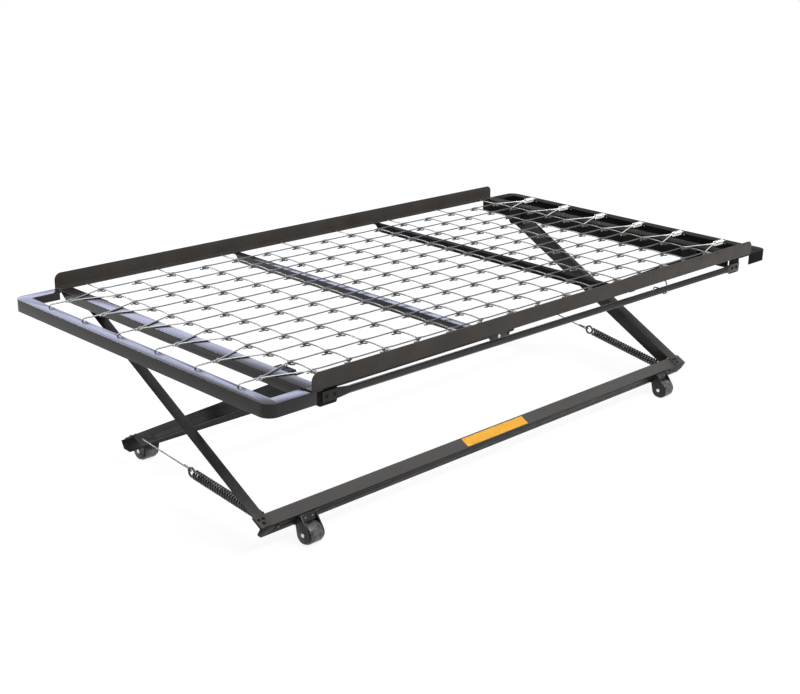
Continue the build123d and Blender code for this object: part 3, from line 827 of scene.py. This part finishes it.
def spring_coil(hand, sign):
    """Coil hooked in the front low rail, with a full loop that carries the rod."""
    at, along, across, _ = spring_axis(hand, sign)
    coil = Sweep()
    hook = [at(-0.0040, 0, 0.0065), at(-0.0040, 0, 0.003), at(-0.0032), at(0.004), at(0.030),
            at(0.040, COIL_R * 0.25), at(COIL_START, COIL_R * 0.8)]
    coil.wire(smooth_path(hook, 4), HOOK_WIRE, 8)
    turns = helix(at(COIL_START + 0.001), at(COIL_END - 0.001), COIL_R, COIL_TURNS, 18)
    coil.wire(turns, COIL_WIRE, 8)
    eye = at(COIL_END + EYE_R + 0.001)
    loop = [at(COIL_END - 0.002, COIL_R * 0.9)]
    for i in range(19):
        a = math.pi - math.radians(25) - math.radians(335) * i / 18
        loop.append(eye + along * (EYE_R * math.cos(a)) + across * (EYE_R * math.sin(a)))
    coil.wire(smooth_path(loop, 2), COIL_WIRE, 8)
    piece = coil.piece(f"{hand}_coil", COIL, None)
    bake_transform(piece, f"{hand}_spring", f"{hand}_rod", start=tuple(at(COIL_START)), end=tuple(at(COIL_END)))
    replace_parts(piece, f"{hand}_spring_coil")


def spring_rod(hand, sign):
    """Rod from the coil's loop to its hole in the rear leg, doubled back where it grips the loop."""
    at, _, _, length = spring_axis(hand, sign)
    rod = Sweep()
    bend = COIL_END + 2 * EYE_R + 0.001 - COIL_WIRE - ROD_R - 0.0003
    off = COIL_WIRE + ROD_R + 0.0006
    end = bend + 0.030
    strand = [at(end, 0.0037, off), at(end - 0.012, 0.0037, off),
              at(bend + 0.010, 0.0030, off * 0.2), at(bend + 0.003, 0.0010, -off * 0.6),
              at(bend, 0, -off * 0.1), at(bend + 0.001, 0, off * 0.6), at(bend + 0.006, 0, off),
              at(end, 0, off), at(length - 0.005, 0, off), at(length - 0.0012, 0, off + 0.001),
              at(length, 0, off + 0.004), at(length, 0, 0.0225)]
    rod.wire(smooth_path(strand, 4), ROD_R, 10)
    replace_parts(rod.piece(f"{hand}_rod", ROD, f"{hand}_rod"), f"{hand}_spring_rod")


def floor_paint():
    """Matt for the light it throws; camera and mirror rays see it near white, with the shadow."""
    mat, tree, bsdf = material("pale_floor", (0.55, 0.55, 0.55), 0.9, spec=0.2)
    shade = tree.nodes.new("ShaderNodeBsdfDiffuse")
    shade.inputs["Color"].default_value = (0.11, 0.11, 0.11, 1)
    glow = tree.nodes.new("ShaderNodeEmission")
    glow.inputs["Strength"].default_value = 1.0
    coord = tree.nodes.new("ShaderNodeTexCoord")
    reach = tree.nodes.new("ShaderNodeMapping")
    reach.inputs["Scale"].default_value = (1 / FLOOR_FADE_R,) * 3
    fall = tree.nodes.new("ShaderNodeTexGradient")
    fall.gradient_type = "SPHERICAL"
    tree.links.new(coord.outputs["Object"], reach.inputs["Vector"])
    tree.links.new(reach.outputs["Vector"], fall.inputs["Vector"])
    tree.links.new(ramp(tree, fall.outputs["Fac"], 0.1, 1.0, 0.8, 0.89), glow.inputs["Color"])
    both = tree.nodes.new("ShaderNodeAddShader")
    mix = tree.nodes.new("ShaderNodeMixShader")
    tree.links.new(shade.outputs[0], both.inputs[0])
    tree.links.new(glow.outputs[0], both.inputs[1])
    tree.links.new(seen_or_mirrored(tree), mix.inputs[0])
    tree.links.new(bsdf.outputs[0], mix.inputs[1])
    tree.links.new(both.outputs[0], mix.inputs[2])
    tree.links.new(mix.outputs[0], tree.nodes["Material Output"].inputs["Surface"])
    return mat


def pale_floor():
    mat = floor_paint()
    mesh = bpy.data.meshes.new("floor")
    rim = [2 * math.pi * i / 96 for i in range(96)]
    mesh.from_pydata([(FLOOR_R * math.cos(a), FLOOR_R * math.sin(a), 0) for a in rim], [],
                     [tuple(range(len(rim)))])
    mesh.materials.append(mat)
    floor = bpy.data.objects.new("floor", mesh)
    scene.collection.objects.link(floor)


def seen_or_mirrored(tree):
    """1 for camera, glossy and transmission rays, 0 for those that light the object."""
    path = tree.nodes.new("ShaderNodeLightPath")
    last = path.outputs["Is Camera Ray"]
    for kind in ("Is Glossy Ray", "Is Transmission Ray"):
        either = tree.nodes.new("ShaderNodeMath")
        either.operation = "MAXIMUM"
        tree.links.new(last, either.inputs[0])
        tree.links.new(path.outputs[kind], either.inputs[1])
        last = either.outputs[0]
    return last


def studio_world():
    world = bpy.data.worlds.new("studio")
    scene.world = world
    world.use_nodes = True
    tree = world.node_tree
    tree.nodes.clear()
    mix = tree.nodes.new("ShaderNodeMixShader")
    for slot, strength in ((1, 0.34), (2, 1.0)):
        light = tree.nodes.new("ShaderNodeBackground")
        light.inputs["Color"].default_value = (1, 1, 1, 1)
        light.inputs["Strength"].default_value = strength
        tree.links.new(light.outputs[0], mix.inputs[slot])
    tree.links.new(seen_or_mirrored(tree), mix.inputs[0])
    out = tree.nodes.new("ShaderNodeOutputWorld")
    tree.links.new(mix.outputs[0], out.inputs["Surface"])


def area(name, location, target, size, power, color=(1, 1, 1)):
    light = bpy.data.lights.new(name, "AREA")
    light.shape = "RECTANGLE"
    light.size, light.size_y = size
    light.energy = power
    light.color = color
    obj = bpy.data.objects.new(name, light)
    scene.collection.objects.link(obj)
    obj.location = location
    obj.rotation_mode = "QUATERNION"
    obj.rotation_quaternion = (Vector(target) - Vector(location)).to_track_quat("-Z", "Y")


def lamps():
    """Soft key from the front and above, a rim light behind and a cool panel over the left end."""
    area("key", (0.3, -2.8, 4.6), (0, 0, 0.3), (3.0, 2.0), 260)
    area("rim", (-2.0, 3.6, 2.8), (-0.9, 0, TOP), (1.8, 1.0), 160)
    area("cool_panel", (1.34, 3.3, 1.79), (-0.93, 0, TOP), (3.2, 1.6), 54, (0.56, 0.63, 0.95))


def camera():
    """The photograph's camera, solved from its straight edges; focal is in its pixels."""
    yaw, pitch, roll, focal = 0.7934, 0.3306, -0.0242, 1341.4
    ahead = Vector((math.sin(yaw) * math.cos(pitch), math.cos(yaw) * math.cos(pitch), -math.sin(pitch)))
    across = Vector((math.cos(yaw), -math.sin(yaw), 0))
    down = ahead.cross(across)
    right_axis = across * math.cos(roll) + down * math.sin(roll)
    down_axis = down * math.cos(roll) - across * math.sin(roll)
    lens = bpy.data.cameras.new("camera")
    lens.sensor_fit = "HORIZONTAL"
    lens.sensor_width = 36.0
    lens.lens = focal * lens.sensor_width / PHOTO_WIDTH
    lens.clip_start, lens.clip_end = 0.05, 100
    shot = bpy.data.objects.new("camera", lens)
    scene.collection.objects.link(shot)
    turn = Matrix((right_axis, -down_axis, -ahead)).transposed().to_4x4()
    shot.matrix_world = Matrix.Translation((-2.5289, -2.4098, 0.9804 + TOP)) @ turn
    scene.camera = shot
    scene.view_settings.view_transform = "Standard"


deck_steel()
cross_angles()
middle_crosses()
leg_frames()
casters()
foot_rivets()
sticker()
link_wires()
left_ties()
right_springs()
front_springs()
back_hooks()
tube_hook()
for spring_hand, spring_sign in (("left", -1), ("right", 1)):
    spring_coil(spring_hand, spring_sign)
    spring_rod(spring_hand, spring_sign)
pale_floor()
studio_world()
lamps()
camera()
